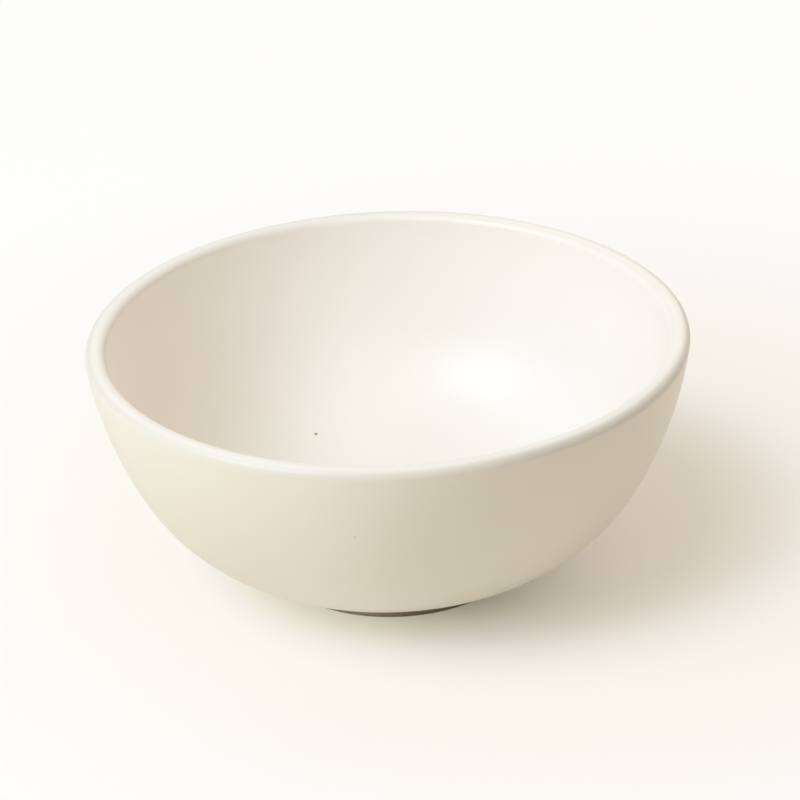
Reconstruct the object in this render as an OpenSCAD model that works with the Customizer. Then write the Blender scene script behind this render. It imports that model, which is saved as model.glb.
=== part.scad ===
// Latte bowl: a wide stoneware bowl without a handle, standing on a turned foot ring.
// Every piece is a section in the (radius, height) plane turned about Z, with the table at z = 0.
// The outside, inside and lip are arcs that meet tangentially, and each glaze coat lies
// between a curve and the same curve set back by the glaze thickness.

/* [Rim] */
// Outside diameter across the lip, over the glaze
rim_d = 150; // [130:1:180]
// Height of the lip above the table
height = 63.7; // [56:0.1:76]
// Thickness of the lip, over both coats
lip_t = 5.2; // [4.2:0.1:6.4]
// Radius of the two rounded edges of the lip
lip_edge_r = 1.8; // [1:0.1:2]
// Radius of the gently crowned top of the lip
lip_crown_r = 4.5; // [3.6:0.1:9]

/* [Outside] */
// Lean of the wall from upright, just under the lip, in degrees
wall_lean = 8; // [5:0.5:12]
// Radius of the long curve of the upper wall
wall_r = 100; // [88:1:130]
// Radius of the belly, which turns the wall under towards the foot
belly_r = 46.5; // [40:0.5:54]
// Height of the belly's lowest point above the table
belly_h = 3.9; // [3:0.1:7]

/* [Inside] */
// Height of the inside floor above the table, at the middle
floor_h = 9; // [7.5:0.1:12]
// Radius of the well, which turns the inside wall into the floor
well_r = 41; // [34:0.5:46]
// Radius of the shallow dish of the inside floor
dish_r = 160; // [120:5:260]

/* [Foot] */
// Outside diameter of the foot ring
foot_d = 64; // [54:0.5:76]
// Width of the foot ring
foot_w = 4.4; // [3:0.1:7]
// Radius of the two rounded edges that the ring stands between
foot_edge_r = 0.8; // [0.3:0.1:1.2]
// Radius of the turned hollow between the ring and the belly
foot_hollow_r = 1.4; // [0.6:0.1:2.5]
// Height of the recess roof inside the ring, at the middle
recess_h = 3.6; // [2.8:0.1:4.4]
// Radius of the shallow dome of the recess roof
recess_dome_r = 400; // [250:10:900]
// Radius of the corner between the recess roof and the ring
recess_corner_r = 1.6; // [0.8:0.1:2]

/* [Glaze] */
// Thickness of each glaze coat
glaze_t = 0.4; // [0.2:0.05:0.6]
// Width of bare clay between the foot hollow and the edge of the outside coat
bare_band = 1; // [0.3:0.1:4]

/* [Hidden] */

// Colours of the fired clay and of the ivory glaze
clay_colour = [0.56, 0.51, 0.44];
glaze_colour = [0.95, 0.93, 0.87];

// Largest distance between an arc and the straight steps that stand for it
curve_sag = 0.02;
// Points closer together than this are one point
same_place = 0.001;
// Steps in one full turn
turn_steps = 180;

// Angles are in degrees, counter-clockwise from straight outwards, so those below level are negative.
function ray(angle) = [cos(angle), sin(angle)];
function angle_of(v) = atan2(v.y, v.x);
function steps(r, sweep) = max(2, ceil(abs(sweep) * PI / 180 / sqrt(8 * curve_sag / r)));

function arc(centre, r, from, to) =
    let (n = steps(r, to - from))
    [for (i = [0 : n]) centre + r * ray(from + (to - from) * i / n)];

function flip(points) = [for (i = [len(points) - 1 : -1 : 0]) points[i]];

// An outline's points with one left where two stretches meet
function joined(points) =
    let (n = len(points))
    [for (i = [0 : n - 1]) if (norm(points[i] - points[(i + n - 1) % n]) > same_place) points[i]];

// Lip: a crowned top between two rounded edges, one for each side of the wall
lip_top = 90;
lip_half = lip_t / 2;
crown_c = [rim_d / 2 - lip_half, height - lip_crown_r];
crown_turn = asin((lip_half - lip_edge_r) / (lip_crown_r - lip_edge_r));
edge_out = lip_top - crown_turn;
edge_in = lip_top + crown_turn;
edge_out_c = crown_c + (lip_crown_r - lip_edge_r) * ray(edge_out);
edge_in_c = crown_c + (lip_crown_r - lip_edge_r) * ray(edge_in);

// Outside: the wall runs on from the lip, and the belly from the wall, down to its lowest point
wall_out = -wall_lean;
wall_c = edge_out_c + (lip_edge_r - wall_r) * ray(wall_out);
belly_start = -asin((wall_c.y - belly_r - belly_h) / (wall_r - belly_r));
belly_c = wall_c + (wall_r - belly_r) * ray(belly_start);

// Inside: the wall keeps its thickness down to the well, which touches both the wall and the dish
wall_in = angle_of(edge_in_c - wall_c);
inside_wall_r = norm(edge_in_c - wall_c) - lip_edge_r;
dish_c = [0, floor_h + dish_r];
well_run = inside_wall_r - well_r;
dish_to_wall = wall_c - dish_c;
well_turn = acos((pow(dish_r - well_r, 2) - pow(norm(dish_to_wall), 2) - pow(well_run, 2))
    / (2 * well_run * norm(dish_to_wall)));
well_start = angle_of(dish_to_wall) + well_turn;
well_c = wall_c + well_run * ray(well_start);
dish_start = angle_of(well_c - dish_c);
dish_middle = -90;

// Foot: the hollow touches the clay of the belly and the upright outside of the ring
foot_r = foot_d / 2;
foot_in_r = foot_r - foot_w;
clay_belly_r = belly_r - glaze_t;
hollow_x = foot_r + foot_hollow_r;
hollow_drop = sqrt(pow(clay_belly_r + foot_hollow_r, 2) - pow(hollow_x - belly_c.x, 2));
hollow_c = [hollow_x, belly_c.y - hollow_drop];
belly_end = angle_of(hollow_c - belly_c);
glaze_end = belly_end + bare_band / clay_belly_r * 180 / PI;

// Recess: the corner touches the inside of the ring and the domed roof
dome_c = [0, recess_h - recess_dome_r];
corner_x = foot_in_r - recess_corner_r;
corner_rise = sqrt(pow(recess_dome_r - recess_corner_r, 2) - pow(corner_x, 2));
corner_c = [corner_x, dome_c.y + corner_rise];
corner_end = angle_of(corner_c - dome_c);
dome_middle = 90;

// The outside from the top of the lip down to the edge of the glaze, set back into the wall
function outside(back) = concat(
    arc(crown_c, lip_crown_r - back, lip_top, edge_out),
    arc(edge_out_c, lip_edge_r - back, edge_out, wall_out),
    arc(wall_c, wall_r - back, wall_out, belly_start),
    arc(belly_c, belly_r - back, belly_start, glaze_end));

// The inside from the top of the lip down to the middle of the floor, set back into the wall
function inside(back) = concat(
    arc(crown_c, lip_crown_r - back, lip_top, edge_in),
    arc(edge_in_c, lip_edge_r - back, edge_in, 180 + wall_in),
    arc(wall_c, inside_wall_r + back, wall_in, well_start),
    arc(well_c, well_r + back, well_start, dish_start),
    arc(dish_c, dish_r + back, dish_start, dish_middle));

// The recess from the inside of the ring up to the middle of its roof, set forward off the clay
function recess(forward) = concat(
    arc(corner_c, recess_corner_r - forward, 0, corner_end),
    arc(dome_c, recess_dome_r - forward, corner_end, dome_middle));

// The bare clay from the edge of the glaze round the hollow and under the ring
function foot() = concat(
    arc(belly_c, clay_belly_r, glaze_end, belly_end),
    arc(hollow_c, foot_hollow_r, angle_of(belly_c - hollow_c), 180),
    arc([foot_r - foot_edge_r, foot_edge_r], foot_edge_r, 0, -90),
    arc([foot_in_r + foot_edge_r, foot_edge_r], foot_edge_r, -90, -180));

module turned(outline) {
    rotate_extrude($fn = turn_steps)
        polygon(joined(outline));
}

// Fired stoneware in one piece: crowned lip, wall, belly, floor and foot ring
module clay_body() {
    color(clay_colour)
        turned(concat(outside(glaze_t), foot(), recess(0), flip(inside(glaze_t))));
}

// Coat poured inside, from the top of the lip over the wall and floor
module inside_glaze() {
    color(glaze_colour)
        turned(concat(inside(0), flip(inside(glaze_t))));
}

// Coat on the outside, from the top of the lip down to the bare clay above the foot
module outside_glaze() {
    color(glaze_colour)
        turned(concat(outside(0), flip(outside(glaze_t))));
}

// Coat on the recess roof and its corner, clear of the table
module base_glaze() {
    color(glaze_colour)
        turned(concat(recess(0), flip(recess(glaze_t))));
}

clay_body();
inside_glaze();
outside_glaze();
base_glaze();
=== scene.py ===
"""A latte bowl: wheel-turned stoneware under a satin ivory glaze, on a bare clay foot, on a pale table."""
import math

import bpy
import numpy as np
from mathutils import Matrix, Vector


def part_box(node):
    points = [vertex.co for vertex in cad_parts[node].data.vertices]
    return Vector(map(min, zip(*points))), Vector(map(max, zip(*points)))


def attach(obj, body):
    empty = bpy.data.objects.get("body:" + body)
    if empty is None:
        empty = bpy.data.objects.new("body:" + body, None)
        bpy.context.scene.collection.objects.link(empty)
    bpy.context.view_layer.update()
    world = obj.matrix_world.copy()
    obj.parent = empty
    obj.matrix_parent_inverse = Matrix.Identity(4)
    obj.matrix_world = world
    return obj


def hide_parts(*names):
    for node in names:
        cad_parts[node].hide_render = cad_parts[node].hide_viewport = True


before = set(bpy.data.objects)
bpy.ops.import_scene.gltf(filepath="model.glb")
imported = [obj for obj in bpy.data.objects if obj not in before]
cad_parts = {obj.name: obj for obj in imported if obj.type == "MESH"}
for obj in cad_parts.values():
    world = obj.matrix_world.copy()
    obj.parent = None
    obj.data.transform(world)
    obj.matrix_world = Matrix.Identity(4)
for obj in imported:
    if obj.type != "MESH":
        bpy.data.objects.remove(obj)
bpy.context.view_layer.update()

# Sizes of the bowl in metres. The rim and the height are those of the solid bowl.
RIM_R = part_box("outside_glaze")[1].x
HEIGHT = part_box("outside_glaze")[1].z
LIP_T = 0.0052
LIP_EDGE_R = 0.0018
LIP_CROWN_R = 0.0045
WALL_LEAN = math.radians(8)
WALL_R = 0.100
BELLY_R = 0.0465
BELLY_H = 0.0039
FLOOR_H = 0.009
WELL_R = 0.041
DISH_R = 0.160
FOOT_R = 0.032
FOOT_W = 0.0044
FOOT_EDGE_R = 0.0008
FOOT_HOLLOW_R = 0.0014
RECESS_H = 0.0036
RECESS_DOME_R = 0.400
RECESS_CORNER_R = 0.0016
GLAZE_T = 0.0004
BARE_BAND = 0.001

# Waves round the axis, each by depth, number and phase: the wall out of round, the lip up and down, and the
# wiped edge of the outside glaze
WALL_WAVES = ((0.00012, 2, 0.6), (0.00008, 3, 2.1))
LIP_WAVES = ((0.00010, 2, 1.9), (0.00006, 5, 0.0))
EDGE_WAVES = ((0.00022, 3, 0.4), (0.00016, 7, 1.3), (0.00009, 17, 0.0))

# The wiped edge: its lift above the solid's edge, how far it rounds off, and the bead of glaze above it
EDGE_LIFT = 0.0005
EDGE_ROUND = 0.0007
BEAD_T = 0.00014
BEAD_GAP = 0.0011
BEAD_W = 0.0007

# Steps round the axis, and points on a fine, a long or a short stretch of an outline
TURN_STEPS = 256
FINE = 72
LONG = 36
SHORT = 14
TURN = np.arange(TURN_STEPS) * 2 * np.pi / TURN_STEPS

# The photograph's frame in pixels, what it shows at three of them, and where its camera stood
PHOTO_SIDE = 800
AIM_PIXEL = (392.0, 444.8)
INSIDE_SPECK_PIXEL = (316.0, 434.0)
OUTSIDE_SPECK_PIXEL = (355.0, 537.0)
CAMERA_DISTANCE = 0.9
CAMERA_ELEVATION = math.radians(27.65)
CAMERA_ROLL = math.radians(2.43)
SENSOR = 36.0
LENS = 160.4
FOCAL_PIXELS = LENS / SENSOR * PHOTO_SIDE

# Iron specks, each by size and strength
INSIDE_SPECK = (0.0011, 0.8)
OUTSIDE_SPECK = (0.0007, 0.25)

# Soft patches of painted light and shade on the glaze and the clay, each by middle, size and strength
WARM_LIGHT_PATCH = ((-0.03, 0.05, 0.04), 0.11, 1.0)
BOUNCE_LIGHT_PATCH = ((-RIM_R, -0.01, HEIGHT / 2), 0.17, 1.0)
GREEN_SHADE_PATCH = ((-0.039, 0.029, 0.019), 0.044, 0.5)
FRONT_SHADE_PATCH = ((0.036, -0.059, 0.042), 0.12, 0.85)
LIT_FOOT_PATCH = ((-0.010, -0.031, 0.001), 0.046, 0.6)
SHADED_FOOT_PATCH = ((0.014, -0.030, 0.001), 0.046, 0.6)

# Where painted shade darkens the lip's inner and outer edges and painted light brightens its top, each by
# middle and size
SHADED_INNER_SPOT = ((-0.063, 0.036, HEIGHT), 0.16)
SHADED_OUTER_SPOT = ((0.053, -0.053, HEIGHT), 0.102)
LIT_LIP_SPOT = ((0.068, 0.032, HEIGHT), 0.17)

# Heights between which one tone turns into another: up the inside, where painted light pales the upper wall,
# over the lip, and up the foot, where painted shade darkens it towards the table
UPPER_LIGHT_HEIGHTS = (0.030, 0.056)
INNER_EDGE_HEIGHTS = (HEIGHT - 0.0018, HEIGHT - 0.0008)
OUTER_LIP_HEIGHTS = (HEIGHT - 0.0024, HEIGHT - 0.0012)
CONTACT_SHADE_HEIGHTS = (0.0014, 0.0004)

# Distances from the axis between which one tone turns into another: over the lip, where painted shade darkens
# its outer edge, and on the table, where painted warm shade lies round the foot
INNER_LIP_RADII = (RIM_R - 0.0042, RIM_R - 0.0030)
OUTER_EDGE_RADII = (RIM_R - 0.0020, RIM_R - 0.0005)
SHADED_EDGE_RADII = (RIM_R - 0.0024, RIM_R - 0.0005)
FOOT_SHADE_RADII = (0.048, 0.036)

# The lip's shadow on the table: its front and back, and distances from them over which painted light turns
# the table white
SHADOW_FRONT = (0.036, -0.002, 0.0)
SHADOW_BACK = (0.034, 0.044, 0.0)
SHADOW_EDGE = (0.045, 0.089)
SHADOW_FADE = (0.147, 0.259)
SHADOW_WARMTH = (0.10, 0.18)
TABLE_SIDE = 8.0


# Outlines in the plane of radius and height. Angles run counter-clockwise from straight outwards.

def ray(angle):
    """Unit vector at an angle, in the last axis."""
    return np.stack([np.cos(angle), np.sin(angle)], axis=-1)


def angle_of(vector):
    """Angle at which a vector points."""
    return math.atan2(vector[1], vector[0])


def arc(centre, radius, start, end, points=LONG):
    """Circle from one angle to another, as (point, turn, radius and height). The points crowd towards both
    ends by a cosine, so that stretches which meet at a tangent shade as one. The end may differ by turn."""
    share = (1 - np.cos(np.linspace(0, np.pi, points)))[:, None] / 2
    return centre + radius * ray(start + (end - start) * share)


def joined(*stretches):
    """Stretches one after another, each carried to every turn."""
    return np.concatenate([np.broadcast_to(s, (len(s), TURN_STEPS, 2)) for s in stretches])


# Lip, wall and belly, which meet at tangents
LIP_TOP = math.pi / 2
CROWN_C = np.array([RIM_R - LIP_T / 2, HEIGHT - LIP_CROWN_R])
CROWN_TURN = math.asin((LIP_T / 2 - LIP_EDGE_R) / (LIP_CROWN_R - LIP_EDGE_R))
EDGE_OUT = LIP_TOP - CROWN_TURN
EDGE_IN = LIP_TOP + CROWN_TURN
EDGE_OUT_C = CROWN_C + (LIP_CROWN_R - LIP_EDGE_R) * ray(EDGE_OUT)
EDGE_IN_C = CROWN_C + (LIP_CROWN_R - LIP_EDGE_R) * ray(EDGE_IN)
WALL_OUT = -WALL_LEAN
WALL_C = EDGE_OUT_C + (LIP_EDGE_R - WALL_R) * ray(WALL_OUT)
BELLY_START = -math.asin((WALL_C[1] - BELLY_R - BELLY_H) / (WALL_R - BELLY_R))
BELLY_C = WALL_C + (WALL_R - BELLY_R) * ray(BELLY_START)

# Inside wall, well and dished floor
WALL_IN = angle_of(EDGE_IN_C - WALL_C)
INSIDE_WALL_R = np.linalg.norm(EDGE_IN_C - WALL_C) - LIP_EDGE_R
DISH_C = np.array([0.0, FLOOR_H + DISH_R])
WELL_RUN = INSIDE_WALL_R - WELL_R
DISH_TO_WALL = WALL_C - DISH_C
WELL_TURN = math.acos(((DISH_R - WELL_R) ** 2 - DISH_TO_WALL @ DISH_TO_WALL - WELL_RUN ** 2)
                      / (2 * WELL_RUN * np.linalg.norm(DISH_TO_WALL)))
WELL_START = angle_of(DISH_TO_WALL) + WELL_TURN
WELL_C = WALL_C + WELL_RUN * ray(WELL_START)
DISH_START = angle_of(WELL_C - DISH_C)

# Foot ring, the hollow above it, and the recess inside it
FOOT_IN_R = FOOT_R - FOOT_W
CLAY_BELLY_R = BELLY_R - GLAZE_T
HOLLOW_X = FOOT_R + FOOT_HOLLOW_R
HOLLOW_DROP = math.sqrt((CLAY_BELLY_R + FOOT_HOLLOW_R) ** 2 - (HOLLOW_X - BELLY_C[0]) ** 2)
HOLLOW_C = np.array([HOLLOW_X, BELLY_C[1] - HOLLOW_DROP])
BELLY_END = angle_of(HOLLOW_C - BELLY_C)
GLAZE_END = BELLY_END + BARE_BAND / CLAY_BELLY_R
DOME_C = np.array([0.0, RECESS_H - RECESS_DOME_R])
CORNER_X = FOOT_IN_R - RECESS_CORNER_R
CORNER_RISE = math.sqrt((RECESS_DOME_R - RECESS_CORNER_R) ** 2 - CORNER_X ** 2)
CORNER_C = np.array([CORNER_X, DOME_C[1] + CORNER_RISE])
CORNER_END = angle_of(CORNER_C - DOME_C)


def upper_outside(back):
    """The outside from the top of the lip down to the belly, set back into the wall."""
    return joined(arc(CROWN_C, LIP_CROWN_R - back, LIP_TOP, EDGE_OUT, SHORT),
                  arc(EDGE_OUT_C, LIP_EDGE_R - back, EDGE_OUT, WALL_OUT)[1:],
                  arc(WALL_C, WALL_R - back, WALL_OUT, BELLY_START)[1:])


def inside(back):
    """The inside from the top of the lip down to the middle of the floor, set back into the wall."""
    return joined(arc(CROWN_C, LIP_CROWN_R - back, LIP_TOP, EDGE_IN, SHORT),
                  arc(EDGE_IN_C, LIP_EDGE_R - back, EDGE_IN, math.pi + WALL_IN)[1:],
                  arc(WALL_C, INSIDE_WALL_R + back, WALL_IN, WELL_START)[1:],
                  arc(WELL_C, WELL_R + back, WELL_START, DISH_START)[1:],
                  arc(DISH_C, DISH_R + back, DISH_START, -math.pi / 2)[1:])


def recess(forward):
    """The recess from the inside of the ring up to the middle of its roof, set forward off the clay."""
    return joined(arc(CORNER_C, RECESS_CORNER_R - forward, 0.0, CORNER_END, SHORT),
                  arc(DOME_C, RECESS_DOME_R - forward, CORNER_END, math.pi / 2)[1:])


def clay_foot():
    """The clay from the belly down to the hollow, round it and under the ring."""
    outer_edge = np.array([FOOT_R - FOOT_EDGE_R, FOOT_EDGE_R])
    inner_edge = np.array([FOOT_IN_R + FOOT_EDGE_R, FOOT_EDGE_R])
    return joined(arc(BELLY_C, CLAY_BELLY_R, BELLY_START, BELLY_END)[1:],
                  arc(HOLLOW_C, FOOT_HOLLOW_R, angle_of(BELLY_C - HOLLOW_C), math.pi, SHORT)[1:],
                  arc(outer_edge, FOOT_EDGE_R, 0.0, -math.pi / 2, SHORT),
                  arc(inner_edge, FOOT_EDGE_R, -math.pi / 2, -math.pi, SHORT))


# From an outline to a piece

def waves(parts):
    """Sum of cosine waves round the axis, one value for each turn."""
    return sum(depth * np.cos(number * TURN + phase) for depth, number, phase in parts)


def hand_turned(outline):
    """Moves an outline a little at each turn, as a hand on the wheel does: the wall leaves the round by waves
    round the axis, and the lip rises and falls, both growing with the square of the height."""
    radius, height = outline[..., 0], outline[..., 1]
    lift = (height / HEIGHT) ** 2
    out, rise = lift * waves(WALL_WAVES), lift * waves(LIP_WAVES)
    return np.stack([radius * (1 + out / RIM_R), height + rise], axis=-1)


def keep_sharp(mesh, rings):
    """Marks as sharp the edges that run round the axis along these rings of points."""
    ends = np.zeros(len(mesh.edges) * 2, dtype=np.int32)
    mesh.edges.foreach_get("vertices", ends)
    ring = ends.reshape(-1, 2) // TURN_STEPS
    mesh.edges.foreach_set("use_edge_sharp", (ring[:, 0] == ring[:, 1]) & np.isin(ring[:, 0], rings))


def turned(name, outline, corners, closed):
    """Surface of revolution: every (radius, height) point of the outline is carried round Z. A closed outline
    makes a ring, and an open one starts and ends in a pole on the axis. The rows at corners stay sharp."""
    outline = hand_turned(outline)
    rows = outline if closed else outline[1:-1]
    points = np.stack([rows[..., 0] * np.cos(TURN), rows[..., 0] * np.sin(TURN), rows[..., 1]], axis=-1)
    points = points.reshape(-1, 3)
    index = np.arange(len(points)).reshape(len(rows), TURN_STEPS)
    if closed:
        index = np.concatenate([index, index[:1]])
    along = np.roll(index, -1, axis=1)
    faces = np.stack([index[:-1], index[1:], along[1:], along[:-1]], axis=-1).reshape(-1, 4).tolist()
    rings = np.asarray(corners) % len(outline)
    if not closed:
        rings = rings - 1
        first, last = len(points), len(points) + 1
        poles = np.zeros((2, 3))
        poles[:, 2] = outline[[0, -1], 0, 1]
        points = np.concatenate([points, poles])
        faces += np.stack([np.full(TURN_STEPS, first), index[0], along[0]], axis=-1).tolist()
        faces += np.stack([np.full(TURN_STEPS, last), along[-1], index[-1]], axis=-1).tolist()
    mesh = bpy.data.meshes.new(name)
    mesh.from_pydata(points.tolist(), [], faces)
    mesh.update()
    mesh.shade_smooth()
    keep_sharp(mesh, rings)
    piece = bpy.data.objects.new(name, mesh)
    bpy.context.scene.collection.objects.link(piece)
    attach(piece, "root")
    return piece


def stoneware_body():
    """Fired clay: the inside, lip and outside under the glaze, then the foot and the recess."""
    outline = joined(inside(GLAZE_T)[::-1], upper_outside(GLAZE_T)[1:], clay_foot(), recess(0))
    piece = turned("stoneware_body", outline, [], closed=False)
    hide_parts("clay_body")
    return piece


def liner_glaze():
    """Coat poured inside: from the middle of the floor up to the top of the lip, and back on the clay."""
    face, seat = inside(0)[::-1], inside(GLAZE_T)
    piece = turned("liner_glaze", joined(face, seat), [len(face) - 1, len(face)], closed=False)
    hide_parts("inside_glaze")
    return piece


def outer_glaze():
    """Coat on the outside: from the top of the lip down to the wiped edge, and back up on the clay. The edge
    wanders by a few waves round the foot. The glaze swells above it by a bell curve, and rounds off to it by
    a quarter of a circle."""
    end = GLAZE_END + (waves(EDGE_WAVES) + EDGE_LIFT) / CLAY_BELLY_R
    seat = arc(BELLY_C, CLAY_BELLY_R, BELLY_START, end, FINE)
    to_edge = np.linalg.norm(seat - seat[-1:], axis=-1)
    rounded = np.sqrt(1 - (1 - np.clip(to_edge / EDGE_ROUND, 0, 1)) ** 2)
    bead = BEAD_T * np.exp(-((to_edge - BEAD_GAP) / BEAD_W) ** 2)
    off_clay = (seat - BELLY_C) / CLAY_BELLY_R
    face = seat + ((GLAZE_T + bead) * rounded)[..., None] * off_clay
    down = joined(upper_outside(0), face[1:])
    back_up = joined(upper_outside(GLAZE_T), seat[1:-1])[::-1]
    piece = turned("outer_glaze", joined(down, back_up), [0, len(down) - 1, -1], closed=True)
    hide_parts("outside_glaze")
    return piece


def recess_glaze():
    """Coat in the recess under the bowl: out over the clay from the middle, and back along its own face."""
    seat, face = recess(0)[::-1], recess(GLAZE_T)
    piece = turned("recess_glaze", joined(seat, face), [len(seat) - 1, len(seat)], closed=False)
    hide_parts("base_glaze")
    return piece


# Finishes

class Value:
    """A socket in a finish's node tree. Arithmetic on it adds Math nodes there."""

    def __init__(self, finish, socket):
        self.finish = finish
        self.socket = socket

    def maths(self, operation, first, second):
        return self.finish.node("ShaderNodeMath", {"operation": operation}, {0: first, 1: second})

    def __add__(self, other):
        return self.maths("ADD", self, other)

    def __radd__(self, other):
        return self.maths("ADD", other, self)

    def __mul__(self, other):
        return self.maths("MULTIPLY", self, other)

    def __rmul__(self, other):
        return self.maths("MULTIPLY", other, self)


class Finish:
    """A material with one Principled shader. node() adds any node: its settings first, then its sockets,
    each fed with a number, a colour, a vector or another node's Value."""

    # Where a Mix node has its two colours and the result
    FIRST_COLOUR = 6
    SECOND_COLOUR = 7
    MIXED_COLOUR = 2

    def __init__(self, name):
        self.material = bpy.data.materials.new(name)
        self.material.use_nodes = True
        self.tree = self.material.node_tree
        self.shader = self.tree.nodes["Principled BSDF"]

    def node(self, kind, settings=None, sockets=None, out=0):
        made = self.tree.nodes.new(kind)
        for name, setting in (settings or {}).items():
            setattr(made, name, setting)
        self.feed(made, sockets or {})
        return Value(self, made.outputs[out])

    def feed(self, node, sockets):
        for key, value in sockets.items():
            if isinstance(value, Value):
                self.tree.links.new(value.socket, node.inputs[key])
            else:
                node.inputs[key].default_value = value

    def place(self):
        """Object coordinates, in metres."""
        return self.node("ShaderNodeTexCoord", out="Object")

    def height(self):
        """Height above the table."""
        return self.node("ShaderNodeSeparateXYZ", sockets={0: self.place()}, out="Z")

    def radius(self):
        """Distance from the axis."""
        level = self.node("ShaderNodeVectorMath", {"operation": "MULTIPLY"}, {0: self.place(), 1: (1, 1, 0)})
        return self.node("ShaderNodeVectorMath", {"operation": "LENGTH"}, {0: level}, out="Value")

    def gap(self, point):
        """Distance from a point."""
        return self.node("ShaderNodeVectorMath", {"operation": "DISTANCE"},
                         {0: self.place(), 1: point}, out="Value")

    def noise(self, size, detail=2.0):
        """Noise from 0 to 1 whose patches are about this size in metres."""
        return self.node("ShaderNodeTexNoise",
                         sockets={"Vector": self.place(), "Scale": 1 / size, "Detail": detail})

    def ramp(self, value, low, high):
        """Smooth climb from 0 to 1 between two values, which may come in falling order."""
        return self.node("ShaderNodeMapRange", {"interpolation_type": "SMOOTHSTEP"},
                         {"Value": value, "From Min": low, "From Max": high})

    def spot(self, middle, size):
        """Soft round spot: 1 within a fifth of its size of the middle, and 0 from half its size."""
        return self.ramp(self.gap(middle), size / 2, size / 5)

    def blend(self, share, first, second):
        """One colour turning into another as the share goes from 0 to 1."""
        return self.node("ShaderNodeMix", {"data_type": "RGBA"},
                         {0: share, self.FIRST_COLOUR: first, self.SECOND_COLOUR: second},
                         out=self.MIXED_COLOUR)

    def patch(self, base, tone, middle, size, strength):
        """A colour with a soft round patch of another, of this strength in its middle."""
        return self.blend(self.spot(middle, size) * strength, base, tone)

    def bump(self, height, depth, normal=None):
        """Normal of a relief whose height runs from 0 to 1, this deep in metres, on top of another relief."""
        sockets = {"Height": height, "Distance": depth}
        if normal:
            sockets["Normal"] = normal
        return self.node("ShaderNodeBump", sockets=sockets)

    def ray_kind(self, name):
        """1 for rays of this kind."""
        return self.node("ShaderNodeLightPath", out=name)

    def whiten(self, share, white):
        """Lets an even white take a share of the shader's place."""
        glow = self.node("ShaderNodeEmission", sockets={"Color": white})
        shaded = Value(self, self.shader.outputs[0])
        mixed = self.node("ShaderNodeMixShader", sockets={0: share, 1: shaded, 2: glow})
        self.feed(self.tree.nodes["Material Output"], {"Surface": mixed})


def colour(red, green, blue):
    """Colour in linear light, opaque."""
    return (red, green, blue, 1.0)


# Tones of the liner, of the outside coat and of the lip, and of the iron that comes through them
LINER_TONE = colour(0.83, 0.813, 0.778)
LINER_CLOUD = colour(0.84, 0.81, 0.765)
# Painted light: paler tone for the upper inside wall
UPPER_LIGHT_TONE = colour(0.878, 0.860, 0.822)
# Painted warm light on the back-left inside wall
WARM_LIGHT_TONE = colour(0.895, 0.866, 0.81)
# Painted rosy bounce light on the left inside wall, which the key leaves in shade
BOUNCE_LIGHT_TONE = colour(0.90, 0.838, 0.773)
# Painted greenish shade low on the back-left inside wall
GREEN_SHADE_TONE = colour(0.843, 0.845, 0.768)
# Painted shade on the lip's inner edge at the back left
SHADED_LINER_EDGE_TONE = colour(0.775, 0.735, 0.68)
IVORY_TONE = colour(0.805, 0.772, 0.675)
IVORY_CLOUD = colour(0.79, 0.75, 0.643)
# Painted shade for the front right of the outside wall
FRONT_SHADE_TONE = colour(0.703, 0.669, 0.58)
# Lip tone, paler than the outside coat, partly as painted light on its upward-facing top
LIP_TONE = colour(0.84, 0.825, 0.785)
# Painted light on the lip's top at the back right
LIT_LIP_TONE = colour(0.93, 0.915, 0.875)
# Painted shade: darker, greyer tone towards the lip's outer edge
EDGE_TONE = colour(0.727, 0.702, 0.642)
# Deeper painted shade for the lip's outer edge at the front right
FRONT_EDGE_SHADE_TONE = colour(0.645, 0.625, 0.575)
IRON_TONE = colour(0.10, 0.075, 0.05)

# Tones of the bare clay
CLAY_TONE = colour(0.46, 0.44, 0.36)
# Painted shade for the foot ring next to the table
CONTACT_SHADE_TONE = colour(0.22, 0.205, 0.16)
MOTTLE_TONE = colour(0.34, 0.31, 0.25)
# Painted light for the front left of the foot ring
LIT_FOOT_TONE = colour(0.62, 0.585, 0.48)
# Painted shade for the front right of the foot ring
SHADED_FOOT_TONE = colour(0.15, 0.14, 0.105)
PALE_SAND_TONE = colour(0.58, 0.53, 0.44)
DARK_SAND_TONE = colour(0.18, 0.15, 0.11)

# Tones of the table, and the whites of painted light and warm painted shade that it turns to
TABLE_TONE = colour(0.90, 0.865, 0.805)
TABLE_CLOUD = colour(0.92, 0.885, 0.825)
# Painted warm shade on the table round the foot
FOOT_SHADE_WHITE = colour(0.97, 0.935, 0.77)
# Warm white of painted light in and near the shadow, standing in for warm shade
SHADOW_WHITE = colour(0.968, 0.947, 0.895)
FAR_WHITE = colour(1.0, 1.0, 1.0)

# Glaze: clouds and grains, each by size, by the values between which they come in, and by strength, then
# orange peel and gloss. A grain's edge is measured in cells.
CLOUD_SIZE = 0.028
CLOUD_LEVELS = (0.35, 0.68)
CLOUD_STRENGTH = 0.45
# Strength of the painted light on the upper inside wall
UPPER_LIGHT_STRENGTH = 0.9
GRAIN_CELL = 0.009
GRAIN_DRAW = (0.70, 1.0)
GRAIN_EDGE = (0.030, 0.012)
GRAIN_STRENGTH = 0.35
PEEL_SIZE = 0.0016
PEEL_DEPTH = 0.000012
GLAZE_ROUGH = 0.38
GLAZE_ROUGH_RISE = 0.08
GLAZE_ROUGH_SIZE = 0.012
GLAZE_IOR = 1.52
GLAZE_SPECULAR = 0.35

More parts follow.
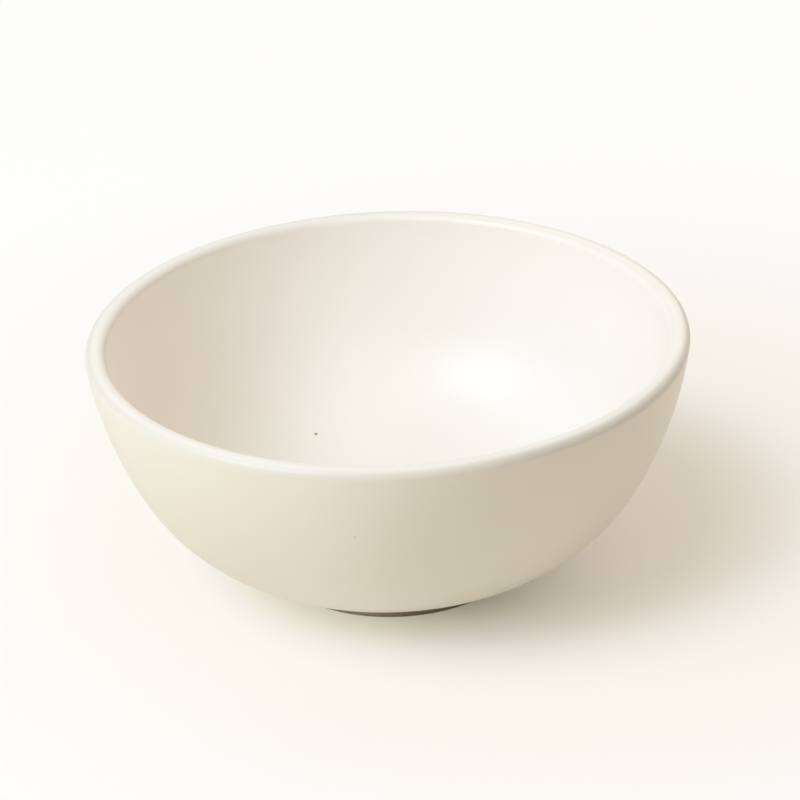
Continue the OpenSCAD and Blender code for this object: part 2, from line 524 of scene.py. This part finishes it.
# Bare clay: mottle and sand by size, level and strength, turning rings, relief and roughness
MOTTLE_SIZE = 0.006
MOTTLE_STRENGTH = 0.4
SAND_SIZE = 0.0006
SAND_DEPTH = 0.00012
PALE_SAND_LEVELS = (0.60, 0.72)
PALE_SAND_STRENGTH = 0.4
DARK_SAND_LEVELS = (0.38, 0.28)
DARK_SAND_STRENGTH = 0.5
RINGS_SCALE = 420.0
RINGS_WOBBLE = 0.6
RINGS_DEPTH = 0.00004
CLAY_ROUGH = 0.78
CLAY_ROUGH_RISE = 0.14

# Table: clouds, roughness, and its share of painted white light in the shadow, what the shadow's edge adds,
# and what lies beyond adds
TABLE_CLOUD_SIZE = 0.12
TABLE_ROUGH = 0.75
SHADOW_SHARE = 0.17
EDGE_SHARE = 0.53
FADE_SHARE = 0.21


def clouded(finish, tone, cloud_tone):
    """A tone with broad, faint clouds of another."""
    clouds = finish.ramp(finish.noise(CLOUD_SIZE), *CLOUD_LEVELS)
    return finish.blend(clouds * CLOUD_STRENGTH, tone, cloud_tone)


def satin_glaze(finish, base, speck):
    """Satin glaze over a base colour: a scatter of faint iron grains and one iron speck that came through,
    over an almost smooth orange peel."""
    cells = {"Vector": finish.place(), "Scale": 1 / GRAIN_CELL}
    to_grain = finish.node("ShaderNodeTexVoronoi", sockets=cells, out="Distance")
    draw = finish.node("ShaderNodeTexVoronoi", sockets=cells, out="Color")
    drawn = finish.ramp(finish.node("ShaderNodeSeparateColor", sockets={0: draw}), *GRAIN_DRAW)
    grains = finish.ramp(to_grain, *GRAIN_EDGE) * drawn
    base = finish.blend(grains * GRAIN_STRENGTH, base, IRON_TONE)
    base = finish.patch(base, IRON_TONE, *speck)
    peel = finish.bump(finish.noise(PEEL_SIZE, detail=1.0), PEEL_DEPTH)
    rough = GLAZE_ROUGH + GLAZE_ROUGH_RISE * finish.noise(GLAZE_ROUGH_SIZE)
    finish.feed(finish.shader, {"Base Color": base, "Roughness": rough, "Normal": peel,
                                "IOR": GLAZE_IOR, "Specular IOR Level": GLAZE_SPECULAR})
    return finish.material


def lip_tone(finish):
    """Tone over the lip: pale on the top, partly as painted light, palest at the back right as painted light,
    and greyer towards the outer edge as painted shade, above all at the front right."""
    radius = finish.radius()
    # Painted light on the top of the lip at the back right
    top = finish.blend(finish.spot(*LIT_LIP_SPOT), LIP_TONE, LIT_LIP_TONE)
    # Painted shade darkening the lip towards its outer edge
    tone = finish.blend(finish.ramp(radius, *OUTER_EDGE_RADII), top, EDGE_TONE)
    # Deeper painted shade on the lip's outer edge at the front right
    edge_shade = finish.spot(*SHADED_OUTER_SPOT) * finish.ramp(radius, *SHADED_EDGE_RADII)
    return finish.blend(edge_shade, tone, FRONT_EDGE_SHADE_TONE)


def liner_finish(speck):
    """Poured liner: ivory, with painted light paling the upper wall, a creamy patch of painted warm light
    beside a rosy patch of painted bounce light, a faint green patch of painted shade under them, and painted
    shade over one side of the lip's inner edge."""
    finish = Finish("liner_glaze")
    base = clouded(finish, LINER_TONE, LINER_CLOUD)
    # Painted light: the upper inside wall turns paler
    base = finish.blend(finish.ramp(finish.height(), *UPPER_LIGHT_HEIGHTS) * UPPER_LIGHT_STRENGTH, base, UPPER_LIGHT_TONE)
    # Painted warm light on the back-left inside wall
    base = finish.patch(base, WARM_LIGHT_TONE, *WARM_LIGHT_PATCH)
    # Painted rosy bounce light on the left inside wall
    base = finish.patch(base, BOUNCE_LIGHT_TONE, *BOUNCE_LIGHT_PATCH)
    # Painted greenish shade low on the back-left inside wall
    base = finish.patch(base, GREEN_SHADE_TONE, *GREEN_SHADE_PATCH)
    # Painted shade over the lip's inner edge at the back left
    edge_shade = finish.ramp(finish.height(), *INNER_EDGE_HEIGHTS) * finish.spot(*SHADED_INNER_SPOT)
    base = finish.blend(edge_shade, base, SHADED_LINER_EDGE_TONE)
    lip = finish.ramp(finish.radius(), *INNER_LIP_RADII)
    return satin_glaze(finish, finish.blend(lip, base, lip_tone(finish)), speck)


def ivory_finish(speck):
    """Outside coat: a warmer ivory with a patch of painted shade on the front of the wall, and the lip's
    tone.
    """
    finish = Finish("ivory_glaze")
    base = clouded(finish, IVORY_TONE, IVORY_CLOUD)
    # Painted shade on the front right of the outside wall
    base = finish.patch(base, FRONT_SHADE_TONE, *FRONT_SHADE_PATCH)
    # The lip's tone, with its painted light and shade, over the top of the outside coat
    lip = finish.ramp(finish.height(), *OUTER_LIP_HEIGHTS)
    return satin_glaze(finish, finish.blend(lip, base, lip_tone(finish)), speck)


def bare_stoneware():
    """Unglazed stoneware: mottled grey-brown clay with pale and dark sand in it, turned in fine rings, with
    painted shade darkening the foot towards the table, painted light on its front left and painted shade on
    its front right."""
    finish = Finish("bare_stoneware")
    # Painted shade: the foot ring darkens towards the table
    base = finish.blend(finish.ramp(finish.height(), *CONTACT_SHADE_HEIGHTS), CLAY_TONE, CONTACT_SHADE_TONE)
    base = finish.blend(finish.noise(MOTTLE_SIZE, detail=3.0) * MOTTLE_STRENGTH, base, MOTTLE_TONE)
    # Painted light on the front left of the foot ring and painted shade on its front right
    base = finish.patch(base, LIT_FOOT_TONE, *LIT_FOOT_PATCH)
    base = finish.patch(base, SHADED_FOOT_TONE, *SHADED_FOOT_PATCH)
    sand = finish.noise(SAND_SIZE)
    pale_sand = finish.ramp(sand, *PALE_SAND_LEVELS) * PALE_SAND_STRENGTH
    dark_sand = finish.ramp(sand, *DARK_SAND_LEVELS) * DARK_SAND_STRENGTH
    base = finish.blend(pale_sand, base, PALE_SAND_TONE)
    base = finish.blend(dark_sand, base, DARK_SAND_TONE)
    rings = finish.node("ShaderNodeTexWave", {"wave_type": "RINGS", "rings_direction": "Z"},
                        {"Vector": finish.place(), "Scale": RINGS_SCALE,
                         "Distortion": RINGS_WOBBLE, "Detail": 1.0})
    relief = finish.bump(sand, SAND_DEPTH, finish.bump(rings, RINGS_DEPTH))
    rough = CLAY_ROUGH + CLAY_ROUGH_RISE * sand
    finish.feed(finish.shader, {"Base Color": base, "Roughness": rough, "Normal": relief})
    return finish.material


def pale_table():
    """Pale matt table top with a barely clouded tone. To the eye and in reflections it turns to white away
    from the bowl's shadow as a glow of painted light, warm as painted shade near the shadow and round the
    foot, and the light that it throws on the bowl is that of the plain tone."""
    finish = Finish("pale_table")
    base = finish.blend(finish.noise(TABLE_CLOUD_SIZE), TABLE_TONE, TABLE_CLOUD)
    finish.feed(finish.shader, {"Base Color": base, "Roughness": TABLE_ROUGH})
    # Painted light: the table's glow turns white away from the bowl's shadow, and warm near it as painted
    # shade
    from_shadow = (finish.gap(SHADOW_FRONT) + finish.gap(SHADOW_BACK)) * 0.5
    white = finish.blend(finish.ramp(from_shadow, *SHADOW_WARMTH), SHADOW_WHITE, FAR_WHITE)
    # Painted warm shade round the foot
    white = finish.blend(finish.ramp(finish.radius(), *FOOT_SHADE_RADII), white, FOOT_SHADE_WHITE)
    share = SHADOW_SHARE + EDGE_SHARE * finish.ramp(from_shadow, *SHADOW_EDGE)
    share = share + FADE_SHARE * finish.ramp(from_shadow, *SHADOW_FADE)
    seen = finish.ray_kind("Is Camera Ray") + finish.ray_kind("Is Glossy Ray")
    seen = seen + finish.ray_kind("Is Transmission Ray")
    finish.whiten(seen * share, white)
    return finish.material


# Camera, table and light

def stand_camera():
    """Camera in front of the bowl, looking down on it, turned so that the middle of the bowl falls on its
    pixel and the table tilts as in the photograph."""
    middle = Vector((0, 0, HEIGHT / 2))
    reach = Vector((0, -math.cos(CAMERA_ELEVATION), math.sin(CAMERA_ELEVATION)))
    side = math.atan((AIM_PIXEL[0] - PHOTO_SIDE / 2) / FOCAL_PIXELS)
    rise = math.atan((PHOTO_SIDE / 2 - AIM_PIXEL[1]) / FOCAL_PIXELS)
    look = (-reach).to_track_quat("-Z", "Y").to_matrix() @ Matrix.Rotation(-CAMERA_ROLL, 3, "Z")
    look = look @ Matrix.Rotation(side, 3, "Y") @ Matrix.Rotation(-rise, 3, "X")
    camera = bpy.data.objects.new("camera", bpy.data.cameras.new("camera"))
    camera.data.sensor_width = SENSOR
    camera.data.lens = LENS
    camera.matrix_world = Matrix.Translation(middle + CAMERA_DISTANCE * reach) @ look.to_4x4()
    bpy.context.scene.collection.objects.link(camera)
    bpy.context.scene.camera = camera
    return camera


def seen_at(pixel, piece, camera):
    """Point of a piece that the camera sees at a pixel of the photograph."""
    right = (pixel[0] - PHOTO_SIDE / 2) / FOCAL_PIXELS
    down = (pixel[1] - PHOTO_SIDE / 2) / FOCAL_PIXELS
    ahead = camera.matrix_world.to_3x3() @ Vector((right, -down, -1)).normalized()
    return tuple(piece.ray_cast(camera.matrix_world.translation, ahead)[1])


def lay_table():
    """Table top under the foot, which reaches past the camera's view."""
    bpy.ops.mesh.primitive_plane_add(size=TABLE_SIDE)
    table = bpy.context.object
    table.name = "table"
    table.data.materials.append(pale_table())


def soft_lamp(name, azimuth, elevation, distance, size, strength, tint):
    """Round soft box on a sphere about the bowl. Azimuth 0 is behind it and 90 to its right. At strength 1 it
    lights a white surface that faces it to white."""
    around, up = math.radians(azimuth), math.radians(elevation)
    out = Vector((math.sin(around) * math.cos(up), math.cos(around) * math.cos(up), math.sin(up)))
    lamp = bpy.data.objects.new(name, bpy.data.lights.new(name, "AREA"))
    lamp.data.shape = "DISK"
    lamp.data.size = size
    lamp.data.color = tint
    lamp.data.energy = strength * (math.pi * distance) ** 2
    lamp.location = Vector((0, 0, HEIGHT / 2)) + distance * out
    lamp.rotation_euler = out.to_track_quat("Z", "Y").to_euler()
    bpy.context.scene.collection.objects.link(lamp)


def room(strength, tint):
    """Even light from all round."""
    world = bpy.data.worlds.new("room")
    world.use_nodes = True
    backdrop = world.node_tree.nodes["Background"]
    backdrop.inputs["Color"].default_value = tint
    backdrop.inputs["Strength"].default_value = strength
    bpy.context.scene.world = world


camera = stand_camera()
body, liner, coat, roof = stoneware_body(), liner_glaze(), outer_glaze(), recess_glaze()
ivory = ivory_finish((seen_at(OUTSIDE_SPECK_PIXEL, coat, camera), *OUTSIDE_SPECK))
body.data.materials.append(bare_stoneware())
liner.data.materials.append(liner_finish((seen_at(INSIDE_SPECK_PIXEL, liner, camera), *INSIDE_SPECK)))
coat.data.materials.append(ivory)
roof.data.materials.append(ivory)

lay_table()
soft_lamp("key", azimuth=240, elevation=49, distance=1.0, size=0.6, strength=0.75, tint=(0.78, 0.88, 1.0))
soft_lamp("back_fill", azimuth=45, elevation=30, distance=1.4, size=1.2, strength=0.17, tint=(1.0, 0.95, 0.9))
room(strength=0.592, tint=colour(1.0, 0.89, 0.73))
bpy.context.scene.view_settings.view_transform = "Standard"
